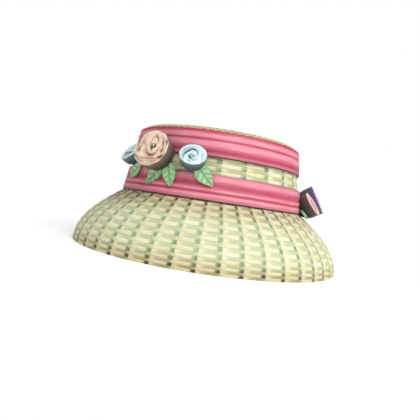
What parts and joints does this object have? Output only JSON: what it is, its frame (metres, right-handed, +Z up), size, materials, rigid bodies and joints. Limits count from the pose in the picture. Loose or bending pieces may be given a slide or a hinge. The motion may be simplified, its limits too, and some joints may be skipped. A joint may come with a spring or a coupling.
{
  "type": "straw bonnet",
  "caption": "Straw bonnet with a tapered flat-topped crown, a drooping round brim, pleated pink ribbons round the crown and rolled cloth roses with leaves.",
  "frame": {"origin": "centre of the circle that the rim rests on, at the lowest point of the bonnet", "axes": "+Z up along the crown's axis; -Y is the front, where the peach rose sits; +X is the wearer's left"},
  "size_m": [0.28, 0.28, 0.1272],
  "materials": {
    "straw": "woven straw, pale cream with greenish hollows",
    "ribbon": "pink satin ribbon, pleated along its length",
    "peach_cloth": "peach rolled cloth",
    "blue_cloth": "pale blue rolled cloth",
    "pink_cloth": "pale pink rolled cloth",
    "purple_cloth": "lilac rolled cloth",
    "leaf_cloth": "green cloth with pressed veins"
  },
  "bodies": {
    "root": {"brim": "straw", "crown": "straw", "upper_ribbon": "ribbon", "lower_ribbon": "ribbon", "peach_rose": "peach_cloth", "blue_rose_left": "blue_cloth", "blue_rose_right": "blue_cloth", "pink_rose": "pink_cloth", "purple_rose": "purple_cloth", "leaf_blue_left": "leaf_cloth", "leaf_peach_left": "leaf_cloth", "leaf_peach_right": "leaf_cloth", "leaf_blue_right": "leaf_cloth", "leaf_pink": "leaf_cloth"}
  },
  "joints": []
}
